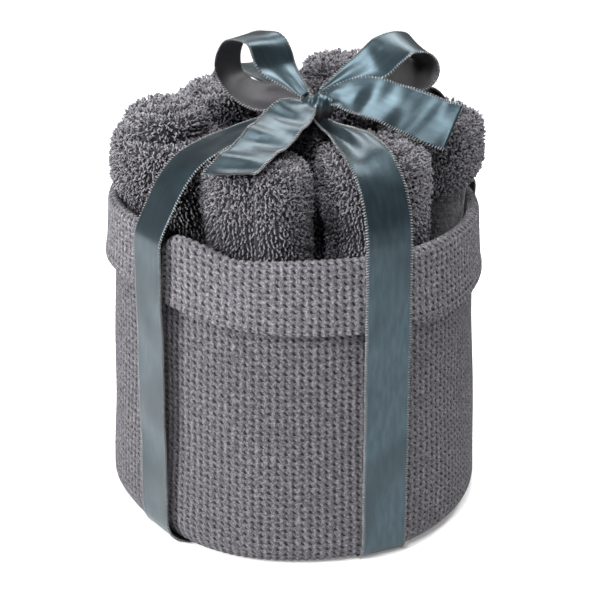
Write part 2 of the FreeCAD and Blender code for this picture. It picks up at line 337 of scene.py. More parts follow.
def satin_material(name, base, bright, rough, glint, metal):
    """Ribbon satin: a fine slanted weave, with painted sheen in long bands along the ribbon, painted shade
    in soft patches and painted glints on the weave's crests.
    """
    m = Nodes(name)
    vector, u, v = m.weave_uv()
    weft = m.math("SINE", m.math("MULTIPLY", v, 2 * math.pi / 0.42))
    slant = m.math("ADD", u, m.math("MULTIPLY", v, 0.5))
    warp = m.math("SINE", m.math("MULTIPLY", slant, 2 * math.pi / 0.5))
    weave = m.math("MULTIPLY", m.math("ADD", weft, warp), 0.5)
    sheen_streak = m.noise(0.5, 1, 0.5, vector, (1.0, 0.25, 1.0))
    shade_and_wrinkle = m.noise(55, 0, 0.5)
    speck = m.noise(2600, 2, 0.6)
    # Painted sheen: long streaks lighten the colour towards bright.
    tone = m.mix(m.ramp(sheen_streak, 0.3, 0.7, 0.15, 0.5), base, bright)
    # Painted shade: soft patches darken the colour.
    tone = m.mix(m.ramp(shade_and_wrinkle, 0.40, 0.66, 0.0, 0.6), tone, tuple(c * 0.55 for c in base))
    # Painted glints: the weave's crests are lightened past bright.
    tone = m.mix(m.ramp(weave, 0.1, 1.0, 0.0, glint), tone, tuple(min(1.0, c * 1.6) for c in bright))
    tone = m.mix(m.ramp(speck, 0.5, 0.8, 0.0, 0.12), tone, tuple(c * 0.6 for c in base))
    m.link(tone, m.shader.inputs["Base Color"])
    m.link(m.ramp(speck, 0.2, 0.8, rough - 0.02, rough + 0.03), m.shader.inputs["Roughness"])
    m.shader.inputs["Metallic"].default_value = metal
    m.shader.inputs["Specular IOR Level"].default_value = 0.6
    m.shader.inputs["Anisotropic"].default_value = 0.5
    m.shader.inputs["Sheen Weight"].default_value = 0.03
    wrinkle = m.bump(shade_and_wrinkle, 0.42, 0.0030)
    m.link(m.bump(weave, 0.12, 0.00010, wrinkle), m.shader.inputs["Normal"])
    return m.material


def thread_material(name, light, dark):
    """Spun thread, light and dark along its twist."""
    m = Nodes(name)
    twist = m.noise(900, 2, 0.5)
    m.link(m.mix(m.ramp(twist, 0.3, 0.7), dark, light), m.shader.inputs["Base Color"])
    m.link(m.ramp(twist, 0.2, 0.8, 0.6, 0.85), m.shader.inputs["Roughness"])
    m.link(m.bump(twist, 0.5, 0.0002), m.shader.inputs["Normal"])
    return m.material


# In the waffle cloths, dark is painted shade for the pits and grooves, and glint is a painted highlight on
# the threads in the pits.
# The cuff is the cloth's inner face turned out, in a lighter copy of the wall's cloth: painted light that
# makes the cuff brighter than the wall below it.
WAFFLE = waffle_material(
    "waffle_cloth", (0.118, 0.113, 0.126), (0.009, 0.008, 0.010), (0.30, 0.29, 0.31))
LIT_CUFF_CLOTH = waffle_material(
    "waffle_cuff_painted_light", (0.148, 0.142, 0.158), (0.011, 0.010, 0.012), (0.36, 0.35, 0.37))
BASE_CLOTH = waffle_material(
    "base_cloth", (0.12, 0.115, 0.128), (0.016, 0.015, 0.018), (0.25, 0.24, 0.25))
# Painted shade: the ground cloth under the loops is near black, so that the gaps between the loops look
# shaded.
TERRY_SHADE_GROUND = terry_material("terry_ground_painted_shade", (0.024, 0.023, 0.027), (0.006, 0.006, 0.007))
PILE = terry_material("terry_pile", (0.160, 0.154, 0.172), (0.038, 0.036, 0.042))
# For the satins, base is the ribbon's own colour and bright is the colour of its painted sheen and glints.
SATIN = satin_material(
    "satin_face", (0.018, 0.033, 0.041), (0.044, 0.071, 0.087), rough=0.31, glint=0.30, metal=0.72)
REVERSE = satin_material(
    "satin_reverse", (0.013, 0.012, 0.015), (0.026, 0.024, 0.029), rough=0.60, glint=0.2, metal=0.0)
STITCH = thread_material("ribbon_edge_stitch", (0.38, 0.38, 0.38), (0.13, 0.14, 0.15))
THREAD = thread_material("hem_thread", (0.20, 0.19, 0.21), (0.09, 0.085, 0.10))


# ---------------------------------------------------------------- basket

COLUMNS = 150           # waffle columns round the basket
ROW = 5.2               # height of one waffle repeat in a column
AROUND = 7 * COLUMNS    # points round the basket
PIT, PUFF = 0.42, 0.40  # depth of the pits and height of the puffs
WALL_END = 106.0        # the wall goes up behind the cuff to here
BEND = 8.5              # radius of the wall's turn into the base
HEM = RIM - CUFF_DROP   # height of the cuff's lower edge
HALF = (CUFF_TOP_R - WALL_TOP_R + CLOTH) / 2    # radius of the fold at the rim
EDGE = 1.5              # radius of the cuff's turned edge
PULL = 5.0              # how far the ribbon lifts the bottom's corner at the front left
DENT = 1.55             # depth of the dents under the base where the runs lie
LEG_GAP = 0.75          # from the legs' seats in to the pressed wall


def bump_at(azimuths, centre, width):
    """A smooth hump round the basket, with its centre and width in degrees."""
    return np.exp(-((np.degrees(azimuths) - centre) / width) ** 2)


def ring(azimuths):
    """How the rolls inside push the round section towards a soft hexagon."""
    return (np.cos(6 * (azimuths - math.radians(-78))) * 0.75
            + 0.5 * np.sin(2 * azimuths + 0.6) + 0.35 * np.sin(3 * azimuths + 2.0))


def wall_radius(azimuths, z):
    """Radius of the wall's outer face: a slight cone, pushed out by the rolls, with creases."""
    slope = BASE_R + (WALL_TOP_R - BASE_R) * z / RIM
    hexagon = ring(azimuths) * (0.45 + 0.55 * np.sin(math.pi * np.clip(z / RIM, 0, 1)))
    crease = 0.45 * np.sin(5 * azimuths + z * 0.045) * np.sin(z * 0.061 + 2 * azimuths)
    sag = 0.5 * np.exp(-((z - 22) / 22) ** 2)
    return slope + hexagon + crease + sag


def rim_lift(azimuths):
    """The cuff stands higher all along the left, with a dip beside the ribbon there."""
    turn = np.degrees(azimuths)
    plateau = (1 - smooth(turn, -34.5, -15)) * smooth(turn, -170, -112)
    waves = 0.5 * np.sin(3 * azimuths + 0.5) + 0.3 * np.sin(7 * azimuths + 1.1)
    return 1.0 + 5.8 * plateau - 4.6 * bump_at(azimuths, -43, 3.4) + waves


def hem_lift(azimuths):
    """The cuff's lower edge rises in a long slant towards the left."""
    turn = np.degrees(azimuths)
    slant = 9.6 * (1 - smooth(turn, -80, 25)) * smooth(turn, -180, -112)
    return 1.2 + slant + 0.4 * np.sin(5 * azimuths)


def cuff_bulge(azimuths):
    """The cuff stands off where the ribbon pulls it on either side."""
    humps = 1.3 * bump_at(azimuths, -33, 6) + 0.8 * bump_at(azimuths, 0, 20)
    return humps + 0.4 * np.sin(4 * azimuths - 0.4)


def level_height(azimuths, z):
    """The same height all the way round."""
    return np.full_like(azimuths, z)


def cuff_radius(azimuths, z):
    """Radius of the cuff's outer face at a height, before the fold's own offsets."""
    down = (RIM - z) / CUFF_DROP
    slope = CUFF_TOP_R + (CUFF_LOW_R - CUFF_TOP_R) * np.clip(down, 0, 1)
    base = slope + 0.9 * np.clip(down, 0, 1) ** 3 + ring(azimuths) * (0.5 + 0.35 * down)
    return base + cuff_bulge(azimuths) * np.clip(1 - 0.7 * down, 0, 1)


def cuff_height(azimuths, z):
    """Height on the cuff, shifted with its rim and its lower edge."""
    part = np.clip((z - HEM) / CUFF_DROP, 0, 1)
    return z + rim_lift(azimuths) * part + hem_lift(azimuths) * (1 - part)


def waffle_relief(u, v):
    """Puffs between slanted pits, every second pit deeper in a brick pattern."""
    leaned = u + SLANT * np.sin(4 * math.pi * v)
    across = np.cos(2 * math.pi * leaned) / 2 + 0.5
    along = np.cos(4 * math.pi * v) / 2 + 0.5
    strong = 0.72 + 0.28 * np.cos(math.pi * leaned) * np.cos(2 * math.pi * v)
    return PUFF * (1 - across) ** 0.8 * (0.65 + 0.35 * along) - PIT * across ** 3 * along * strong


def pulled_up(x, y, z):
    """Lift of a point near the bottom's corner at the front left."""
    rim = smooth(np.hypot(x, y), 64.0, 73.5)
    return PULL * bump_at(np.arctan2(x, -y), -58, 30) * rim * (1 - smooth(z, 5.0, 42.0))


def press_in(points):
    """Dents under the base where the two runs lie, and up the side under the four legs."""
    out = points.copy()
    out[:, 2] += pulled_up(out[:, 0], out[:, 1], out[:, 2])
    for azimuth in (FRONT_LEFT, FRONT_RIGHT):
        d = heading(azimuth)
        off = np.abs((out[:, 0] - KNOT[0]) * d[1] - (out[:, 1] - KNOT[1]) * d[0])
        dent = DENT * (1 - smooth(off, RIBBON_W / 2 + 0.2, RIBBON_W / 2 + 3.0))
        low = 1 - smooth(out[:, 2], 1.0, 6.0)
        out[:, 2] = np.maximum(out[:, 2], dent * low + (out[:, 2] - 1.0).clip(0) * low)
    for node, azimuth in LEGS.items():
        d = heading(azimuth)[:2]
        local = out[:, :2] - KNOT[:2]
        ahead = local @ d
        sideways = np.abs(local @ np.array([-d[1], d[0]]))
        limit = SEATS[node] - LEG_GAP + 9.0 * smooth(sideways, RIBBON_W / 2 + 0.3, RIBBON_W / 2 + 5.0)
        over = ahead - limit
        back = np.where(ahead > 0, 0.5 * (over + np.sqrt(over ** 2 + 0.12)), 0.0)
        out[:, :2] -= back[:, None] * d
    out[:, 2] = np.maximum(out[:, 2], 0.0)
    return out


def cloth_ring(name, profile, relief, radius_of, z_of, material):
    """A ring of waffle cloth: a closed profile of (radius offset, height) swept round the axis."""
    prof = np.asarray(profile, float)
    rows = len(prof)
    az = np.linspace(-math.pi, math.pi, AROUND, endpoint=False)
    r0 = np.stack([radius_of(az, z) + dr for dr, z in prof])
    z0 = np.stack([z_of(az, z) for _, z in prof])
    tr = np.roll(r0, -1, 0) - np.roll(r0, 1, 0)
    tz = np.roll(z0, -1, 0) - np.roll(z0, 1, 0)
    size = np.hypot(tr, tz) + 1e-9
    step = np.hypot(np.diff(prof[:, 0], append=prof[0, 0]), np.diff(prof[:, 1], append=prof[0, 1]))
    v = np.concatenate([[0], np.cumsum(step)]) / ROW
    u = np.arange(AROUND) * COLUMNS / AROUND
    uu, vv = np.meshgrid(u, v[:-1])
    height = waffle_relief(uu, vv) * np.asarray(relief)[:, None]
    r = r0 + tz / size * height
    z = z0 - tr / size * height
    points = np.stack([r * np.sin(az), -r * np.cos(az), z], 2).reshape(-1, 3)
    quads, qi, qj = grid_faces(rows, AROUND, True, True)
    uv = np.stack([qj * COLUMNS / AROUND, v[qi]], 2)
    return make_object(name, press_in(points), quads, [material], uv=uv)


def spread(a, b, n):
    """n points from a to b, without b."""
    return [(a[0] + (b[0] - a[0]) * k / n, a[1] + (b[1] - a[1]) * k / n) for k in range(n)]


def arc(cx, cz, radius, start, end, n):
    """n points along an arc, without its end."""
    turns = [math.radians(start + (end - start) * k / n) for k in range(n)]
    return [(cx + radius * math.cos(t), cz + radius * math.sin(t)) for t in turns]


def wall_cloth():
    """The side: in from the base's seam, round the bottom and up behind the cuff."""
    inner = -FLANGE - 0.6
    profile = (
        spread((inner, 0.0), (-BEND, 0.0), 2)
        + arc(-BEND, BEND, BEND, -90, 0, 24)
        + spread((0.0, BEND), (0.0, WALL_END), 188)
        + spread((0.0, WALL_END), (-CLOTH, WALL_END), 2)
        + spread((-CLOTH, WALL_END), (-CLOTH, BEND), 10)
        + arc(-BEND, BEND, BEND - CLOTH, 0, -90, 6)
        + spread((-BEND, CLOTH), (inner, CLOTH), 2)
    )
    relief = [1.0] * (2 + 24 + 188) + [0.0] * (2 + 10 + 6 + 2)
    return cloth_ring("basket_wall_cloth", profile, relief, wall_radius, level_height, WAFFLE)


def cuff_cloth():
    """The cuff: up from its turned edge, over the rim's fold and down inside."""
    inside = WALL_END - 0.5
    profile = (
        spread((0.0, HEM + EDGE), (0.0, RIM - HALF), 50)
        + arc(-HALF, RIM - HALF, HALF, 0, 180, 14)
        + spread((-2 * HALF, RIM - HALF), (-2 * HALF, inside), 12)
        + spread((-2 * HALF, inside), (-2 * HALF + CLOTH, inside), 2)
        + spread((-2 * HALF + CLOTH, inside), (-HALF - 0.15, RIM - HALF - 0.3), 4)
        + spread((-HALF + 0.15, RIM - HALF - 0.3), (-CLOTH, HEM + EDGE), 6)
        + arc(-EDGE * 0.72, HEM + EDGE, EDGE, 180, 360, 10)
    )
    relief = [1.0] * 50 + [0.8] * 14 + [0.5] * 12 + [0.0] * (2 + 4 + 6) + [0.5] * 10
    return cloth_ring("basket_cuff_cloth", profile, relief, cuff_radius, cuff_height, LIT_CUFF_CLOTH)


wall = wall_cloth()
cuff = cuff_cloth()
for piece in (wall, cuff):
    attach(piece, "basket")
    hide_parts("basket_side")


def base_panel():
    """The round base: two faces of cloth, puffed a little, in a polar grid."""
    rings, spokes = 26, 180
    edge = BASE_R - FLANGE - 0.9
    radii = np.concatenate([np.linspace(0.6, edge, rings), np.linspace(edge, 0.6, rings)])
    upper = np.concatenate([np.zeros(rings), np.ones(rings)])
    az = np.linspace(-math.pi, math.pi, spokes, endpoint=False)
    rr, aa = np.meshgrid(radii, az, indexing="ij")
    x, y = rr * np.sin(aa), -rr * np.cos(aa)
    puff = 0.12 * np.sin(x * 0.55) * np.sin(y * 0.5)
    z = np.where(upper[:, None] > 0, CLOTH + puff, 0.15 + np.abs(puff))
    points = press_in(np.stack([x, y, z], 2).reshape(-1, 3))
    top = np.repeat(upper, spokes) > 0
    points[top, 2] = np.maximum(points[top, 2], CLOTH)
    quads, qi, qj = grid_faces(2 * rings, spokes, True, True)
    qi, qj = qi % (2 * rings), qj % spokes
    uv = np.stack([x[qi, qj] / 3.0, y[qi, qj] / ROW], 2)
    return make_object("basket_base_panel", points, quads[:, ::-1], [BASE_CLOTH], uv=uv[:, ::-1])


panel = base_panel()
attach(panel, "basket")
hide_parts("basket_base")


def stitch_line():
    """Stitches round the cuff, a little above its lower edge."""
    count, cover = 150, 0.72
    height = HEM + 3.4
    az = (np.arange(count) + 0.5) / count * 2 * math.pi - math.pi
    k = np.linspace(-0.5, 0.5, 6)
    turn = az[:, None] + k[None] * 2 * math.pi / count * cover
    z = cuff_height(turn, height)
    r = cuff_radius(turn, height) + 0.30 + 0.25 * np.cos(math.pi * k)[None]
    paths = np.stack([r * np.sin(turn), -r * np.cos(turn), z], 2)
    pressed = press_in(paths.reshape(-1, 3)).reshape(paths.shape)
    points, quads = strands(pressed, np.full(count, 0.22), 5)
    return make_object("hem_stitches", points, quads, [THREAD])


stitches = stitch_line()
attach(stitches, "basket")
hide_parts("hem_thread")

# ---------------------------------------------------------------- rolled towels

PITCH = 5.5             # thickness of the doubled towel
ROLL_R = 21.0           # outside of the cloth, without its pile
TURNS = 3.2
CORE_R = 1.7            # smallest radius of the innermost turn
SLIT = 0.12             # half the gap between the doubled towel's two layers
SPARSE_END = RIM - 16   # below here, deep in the basket, the loops are sparser


def spiral(ends_at, sign, samples):
    """Centre line of a roll seen from above, from its core to its free end."""
    outer = ROLL_R - PITCH / 2
    inner = max(CORE_R, outer - PITCH * TURNS)
    theta = np.linspace(0, 2 * math.pi * TURNS, samples)
    radius = inner + (outer - inner) * theta / theta[-1]
    radius -= 1.4 * smooth(theta, theta[-1] - 0.9, theta[-1])
    return theta, radius, ends_at + sign * (theta - theta[-1])


def splay(points, home, high, lean, swell):
    """Above the rim a roll leans and swells, since nothing holds it there, and its top rounds in."""
    up = smooth(points[:, 2], RIM - 1, RIM + 15)[:, None]
    crown = smooth(points[:, 2], high - 11, high + 1)[:, None]
    local = points[:, :2] - home
    out = points.copy()
    out[:, :2] = home + local * (1 + swell * up - 0.045 * crown) + np.array(lean) * up
    return out


def loops_on(p, normal, along, gen, lift, reach, stray):
    """Paths of terry loops: out from the ground, over and back in a little further along."""
    count = len(p)
    height = gen.uniform(*lift, (count, 1))
    length = gen.uniform(*reach, (count, 1))
    side = np.cross(normal, along)
    swing = gen.normal(0, stray, (count, 1))
    way = along * np.cos(swing) + side * np.sin(swing)
    twist = gen.normal(0, 0.22, (count, 1))
    path = []
    for k in (0.0, 0.25, 0.55, 0.82, 1.0):
        arch = math.sin(math.pi * k)
        path.append(p + normal * (height * arch - 0.15) + way * length * k + side * twist * arch)
    return np.stack(path, 1)


def rolled_towel(node, ends_at, sign, top, step, lean, swell, tilt, seed):
    """A doubled towel rolled on itself: its inner turns stand out of the top by step.

    ends_at is the azimuth of its free end in degrees from +X, sign which way it winds, top
    how far it stands above its CAD node, and tilt the slope of its top along X and Y."""
    low, high = box_mm(node)
    home = ((low + high) / 2)[:2]
    gen = np.random.default_rng(seed)
    samples = 190
    theta, radius, angle = spiral(math.radians(ends_at), sign, samples)
    turn = (theta[-1] - theta) / (2 * math.pi)
    bottom = low[2] + 0.5
    wave = sum(gen.normal(0, 0.3) * np.sin(theta * f + gen.uniform(0, 6)) for f in (1, 2, 3, 5, 8))
    rim_z = high[2] + top + step * (0.85 * smooth(turn, 0.62, 1.0) + 0.15 * smooth(turn, 1.4, 2.6)) + wave
    ends = smooth(theta, 0, 0.35) * (1 - smooth(theta, theta[-1] - 0.35, theta[-1]))
    half = PITCH * 0.485 * (0.12 + 0.88 * ends)
    heights = np.concatenate([np.linspace(0, 0.70, 8)[:-1], np.linspace(0.70, 1, 14)])
    section = [(half, bottom + (rim_z - half - bottom) * h) for h in heights]
    for phi in np.linspace(0, math.pi, 12)[1:-1]:
        section.append((half * math.cos(phi), rim_z - half + half * math.sin(phi)))
    section += [(-half, bottom + (rim_z - half - bottom) * h) for h in heights[::-1]]
    slit = np.full(samples, SLIT)
    floor_z = np.full(samples, bottom)
    section += [(-slit, floor_z), (-slit, rim_z - half - 0.5), (slit, rim_z - half - 0.5), (slit, floor_z)]
    offs = np.array([s[0] for s in section])
    zs = np.array([s[1] for s in section])
    rows = len(section)
    wobble = 0.35 * np.sin(3 * angle + gen.uniform(0, 6)) * radius / radius.max()
    r = radius + offs + gen.normal(0, 0.16, offs.shape) * (np.abs(offs) > 1) + wobble
    x, y = r * np.cos(angle), r * np.sin(angle)
    zs = zs + (tilt[0] * x + tilt[1] * y) * smooth(zs, RIM - 10, RIM + 20)
    flat = np.stack([home[0] + x, home[1] + y, zs], 2).reshape(-1, 3)
    flat = splay(flat, home, high[2] + top, lean, swell)
    quads = grid_faces(rows, samples, True, False)[0]
    # The cloth under the pile carries the painted shade of the gaps between the loops.
    cloth = make_object(node + "_cloth", flat, quads[:, ::-1] if sign > 0 else quads, [TERRY_SHADE_GROUND])
    surface = flat.reshape(rows, samples, 3)
    arcs = np.concatenate([[0], np.cumsum(radius[1:] * np.diff(theta))])

    def sample(si, distance):
        """Point, outward normal, and the directions along the section and along the cloth."""
        tj = np.clip(np.interp(distance, arcs, np.arange(samples)), 0, samples - 1.001)
        i0 = np.clip(np.floor(si).astype(int), 0, rows - 2)
        j0 = np.floor(tj).astype(int)
        fi, fj = (si - i0)[:, None], (tj - j0)[:, None]
        p00, p10 = surface[i0, j0], surface[i0 + 1, j0]
        p01, p11 = surface[i0, j0 + 1], surface[i0 + 1, j0 + 1]
        p = (p00 * (1 - fi) + p10 * fi) * (1 - fj) + (p01 * (1 - fi) + p11 * fi) * fj
        ds = (p10 - p00) * (1 - fj) + (p11 - p01) * fj
        dt = (p01 - p00) * (1 - fi) + (p11 - p10) * fi
        normal = np.cross(dt, ds) * sign
        found = [q / (np.linalg.norm(q, axis=1, keepdims=True) + 1e-9) for q in (normal, ds, dt)]
        return (p, *found)

    def side_loops(z_low, z_high, column, row, lift, reach, thick):
        """Columns of loops down the outer turn."""
        start = max(arcs[-1] - 2 * math.pi * (ROLL_R - 3.5), 0)
        cc, zz = np.meshgrid(np.arange(start, arcs[-1] - 0.3, column), np.arange(z_low, z_high, row))
        zz = zz + (np.arange(cc.shape[1]) % 2) * row / 2
        cc = cc.ravel() + gen.normal(0, 0.12 * column, cc.size)
        zz = zz.ravel() + gen.uniform(-0.25, 0.25, zz.size) * row
        part = (zz - bottom) / (np.interp(cc, arcs, rim_z - half) - bottom)
        p, normal, up, _ = sample(np.interp(part, heights, np.arange(len(heights))), cc)
        return loops_on(p, normal, -up, gen, lift, reach, 0.30), gen.uniform(*thick, len(p))

    def fold_loops():
        """Loops over the fold at the top of every turn, pointing every way."""
        outside, over = np.arange(-4.2, 0.4, 0.5), np.linspace(1.2, 10.8, 7)
        inside = np.arange(11.4, 14.6, 0.7)
        steps = np.concatenate([outside, over, inside])
        cc, ss = np.meshgrid(np.arange(0.5, arcs[-1] - 0.2, 1.1), steps)
        cc = cc.ravel() + gen.normal(0, 0.3, cc.size)
        ss = np.clip(ss.ravel() + gen.uniform(-0.4, 0.4, ss.size), -5, 16)
        p, normal, up, ahead = sample(len(heights) - 1 + ss, cc)
        way = gen.uniform(0, 2 * math.pi, (len(p), 1))
        mixed = up * np.cos(way) + ahead * np.sin(way)
        return loops_on(p, normal, mixed, gen, (1.2, 2.3), (0.9, 2.0), 0.3), gen.uniform(0.28, 0.43, len(p))

    mean_top = float(np.mean(rim_z[turn < 1]))
    batches = [
        side_loops(bottom + 1.0, SPARSE_END, 2.0, 2.4, (0.9, 1.7), (1.5, 2.8), (0.36, 0.52)),
        side_loops(SPARSE_END, mean_top - 1.6, 1.22, 1.55, (0.9, 1.7), (1.1, 2.0), (0.28, 0.42)),
        fold_loops(),
    ]
    paths = np.concatenate([batch[0] for batch in batches])
    widths = np.concatenate([batch[1] for batch in batches])
    points, tubes = strands(paths, widths, 3)
    pile = make_object(node + "_pile", points, tubes, [PILE])
    for piece in (cloth, pile):
        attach(piece, node)
    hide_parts(node)


# node, ends_at, sign, top, step, lean, swell, tilt, seed
TOWELS = [
    ("towel_left", 60, 1, -1.0, 11.0, (-6.0, 0.0), 0.09, (0.0, 0.07), 21),
    ("towel_front_left", -88, -1, -2.6, 2.2, (-1.2, 0.0), 0.03, (0.0, 0.0), 22),
    ("towel_front_right", 120, 1, -1.0, 3.0, (-2.0, 0.0), 0.10, (0.0, 0.03), 23),
    ("towel_right", 170, -1, 1.0, 4.0, (8.0, 0.0), 0.09, (0.0, 0.0), 24),
    ("towel_back_right", -60, 1, 8.0, 7.5, (5.0, 0.0), 0.03, (0.0, 0.0), 25),
    ("towel_back_left", -40, -1, 1.0, 5.0, (0.0, 3.0), 0.03, (0.0, 0.0), 26),
    ("towel_centre", 20, 1, -1.0, 2.0, (0.0, 0.0), 0.0, (0.0, 0.0), 27),
]
for row in TOWELS:
    rolled_towel(*row)

# ---------------------------------------------------------------- ribbon

ACROSS = 21             # points across the ribbon
HALF_THICK = 0.16
STATION_STEP = 0.9      # between the points along a ribbon
CURVE_STEPS = 24        # of each stretch between two stations, before it is resampled


def curve_through(points, step):
    """Catmull-Rom through rows of numbers, resampled evenly by the distance of the first three."""
    p = np.asarray(points, float)
    q = np.vstack([2 * p[0] - p[1], p, 2 * p[-1] - p[-2]])
    out = []
    for i in range(1, len(q) - 2):
        t = np.linspace(0, 1, CURVE_STEPS, endpoint=False)[:, None]
        a, b, c, d = q[i - 1], q[i], q[i + 1], q[i + 2]
        out.append(0.5 * (2 * b + (c - a) * t + (2 * a - 5 * b + 4 * c - d) * t ** 2
                          + (3 * b - a - 3 * c + d) * t ** 3))
    out.append(p[-1:])
    fine = np.vstack(out)
    length = np.concatenate([[0], np.cumsum(np.linalg.norm(np.diff(fine[:, :3], axis=0), axis=1))])
    at = np.linspace(0, length[-1], max(8, int(length[-1] / step) + 1))
    return np.stack([np.interp(at, length, fine[:, k]) for k in range(p.shape[1])], 1), at


def edge_stitches(name, middle, normals, at, gen):
    """Small stitches whipped over both edges of a ribbon."""
    paths = []
    spots = np.arange(0.4, at[-1], 1.0)
    for column, inward in ((0, 1), (ACROSS - 1, -1)):
        on_edge = np.stack([np.interp(spots, at, middle[:, column, k]) for k in range(3)], 1)
        inner = np.stack([np.interp(spots + 0.25, at, middle[:, column + inward, k]) for k in range(3)], 1)
        up = np.stack([np.interp(spots, at, normals[:, column, k]) for k in range(3)], 1)
        out = on_edge - inner
        out /= np.linalg.norm(out, axis=1, keepdims=True) + 1e-9
        paths.append(np.stack([on_edge - out * 0.75 + up * 0.28, on_edge + up * 0.36, on_edge + out * 0.42,
                               on_edge - up * 0.36, on_edge - out * 0.75 - up * 0.28], 1))
    paths = np.concatenate(paths)
    points, quads = strands(paths, gen.uniform(0.12, 0.18, len(paths)), 3)
    points[:, 2] = np.maximum(points[:, 2], 0.0)
    return make_object(name, points, quads, [STITCH])


def ribbon(node, stations, face=1, slant=0.0, waves=(), pleats=2.0, seed=0):
    """A length of ribbon that replaces a CAD node, with its stitched edges.

    Each station is (x, y, z, side x, side y, side z, width, cup, pleat). face is the side
    that the satin is on, slant how far the cut end is out of square, and each wave is
    (amount, period, phase, skew)."""
    gen = np.random.default_rng(seed)
    rows, at = curve_through(stations, STATION_STEP)
    n = len(rows)
    pos, width, cup, pleat = rows[:, :3], rows[:, 6], rows[:, 7], rows[:, 8]
    tang = np.gradient(pos, axis=0)
    tang /= np.linalg.norm(tang, axis=1, keepdims=True)
    side = rows[:, 3:6] - tang * (rows[:, 3:6] * tang).sum(1, keepdims=True)
    side /= np.linalg.norm(side, axis=1, keepdims=True)
    normal = np.cross(tang, side) * face
    u = np.linspace(-0.5, 0.5, ACROSS)
    ripple = np.zeros((n, ACROSS))
    for amount, period, phase, skew in waves:
        ripple += amount * np.sin(2 * math.pi * (at[:, None] / period + skew * u[None]) + phase)
    ripple *= smooth(at, 0, 7)[:, None]
    fold = np.sin(2 * math.pi * pleats * u[None] + 0.4) * pleat[:, None]
    rise = cup[:, None] * (4 * u[None] ** 2 - 0.33) + fold + ripple
    shift = slant * u[None] * (at[:, None] / at[-1]) ** 3
    middle = pos[:, None] + side[:, None] * (u[None, :, None] * width[:, None, None]) \
        + normal[:, None] * rise[..., None] + tang[:, None] * shift[..., None]
    normals = np.cross(np.gradient(middle, axis=0), np.gradient(middle, axis=1)) * face
    normals /= np.linalg.norm(normals, axis=2, keepdims=True) + 1e-9
    front = middle + normals * HALF_THICK
    back = middle - normals * HALF_THICK
    cols = 2 * ACROSS
    points = np.concatenate([front, back[:, ::-1]], 1).reshape(-1, 3)
    quads, qi, qj = grid_faces(n, cols, False, True)
    index = np.where(qj[:, 0] % cols < ACROSS - 1, 0, 1)
    uu = np.concatenate([u, u[::-1]])
    uv = np.stack([uu[qj % cols] * RIBBON_W, at[np.clip(qi, 0, n - 1)]], 2)
    ends = []
    for first in (0, (n - 1) * cols):
        last = first + cols - 1
        for j in range(ACROSS - 1):
            quad = [first + j, first + j + 1, last - 1 - j, last - j]
            ends.append(quad if first else quad[::-1])
    quads = np.vstack([quads, np.array(ends)])
    index = np.concatenate([index, np.ones(len(ends), int)])
    uv = np.concatenate([uv, np.zeros((len(ends), 4, 2))])
    if face > 0:
        quads = quads[:, ::-1]
        uv = uv[:, ::-1]
    satin = make_object(node + "_satin", points, quads, [SATIN, REVERSE], index, uv)
    edge = edge_stitches(node + "_satin_edge", middle, normals, at, gen)
    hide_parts(node)
    return satin, edge, at[-1]


def along(azimuth, rho, z, off=0.0):
    """The point at a distance from the knot's axis along an azimuth, and off to its side."""
    d = heading(azimuth)
    return KNOT[0] + d[0] * rho + d[1] * off, KNOT[1] + d[1] * rho - d[0] * off, z


def leg(node, low_z, upper, seed):
    """One leg of the ribbon. upper has rows of (distance from the knot, z, sideways,
    side's rise, width, cup, pleat) from the rim to the knot."""
    azimuth = LEGS[node]
    seat = SEATS[node]
    d = heading(azimuth)
    run_z = low_z + RUN_LIFT
    lower = [(seat - 9.0, run_z), (seat - 5.0, run_z + 0.03), (seat - 1.9, 1.9), (seat - 0.3, 6.0),
             (seat, 14.0), (seat, 40.0), (seat, 70.0), (seat, RIM - 26), (seat, RIM - 8), (seat, RIM)]
    rows = []
    for rho, z in lower:
        x, y, z = along(azimuth, rho, z)
        rows.append((x, y, z + pulled_up(x, y, z), -d[1], d[0], 0.0, RIBBON_W, 0.0, 0.0))
    for rho, z, off, tip, width, cup, pleat in upper(seat):
        rows.append((*along(azimuth, rho, z, off), -d[1], d[0], tip, width, cup, pleat))
    satin, edge, length = ribbon(node, rows, face=-1, seed=seed, pleats=1.5,
                                 waves=[(0.16, 47.0, seed, 0.1), (0.09, 23.0, 2.0 * seed, -0.15)])
    for piece in (satin, edge):
        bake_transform(piece)


def upper_front_left(seat):
    return [(seat - 0.6, RIM + 5, 0, 0, 18, 0, 0), (seat - 4.5, RIM + 12.5, 0, 0, 18, 0.1, 0),
            (seat - 12, 142.5, 0, 0, 18, 0.2, 0), (seat - 20.5, 149.5, 0, 0.05, 18, 0.3, 0),
            (seat - 37.5, 154.8, 0, 0.10, 17, 0.4, 0.2), (seat - 52, 157.2, 0, 0.12, 13, 0.3, 0.5),
            (12, 158.0, 0, 0.1, 8, 0.3, 0.6), (4, 158.4, 0, 0.1, 6, 0.3, 0.6)]


def upper_front_right(seat):
    return [(seat - 0.2, RIM + 7, 0, 0, 18, 0, 0), (seat - 2.2, RIM + 16, 0, 0, 18, 0.1, 0),
            (seat - 7, 144.5, 0, 0, 18, 0.2, 0), (seat - 16, 152.0, 0, 0.08, 17.5, 0.4, 0.1),
            (seat - 28, 155.4, 0, 0.16, 15, 0.7, 0.5), (24, 155.8, 0, 0.2, 11.5, 0.8, 0.9),
            (13, 155.5, 0, 0.2, 8, 0.6, 1.0), (4, 156.5, 0, 0.1, 5.5, 0.3, 0.7)]


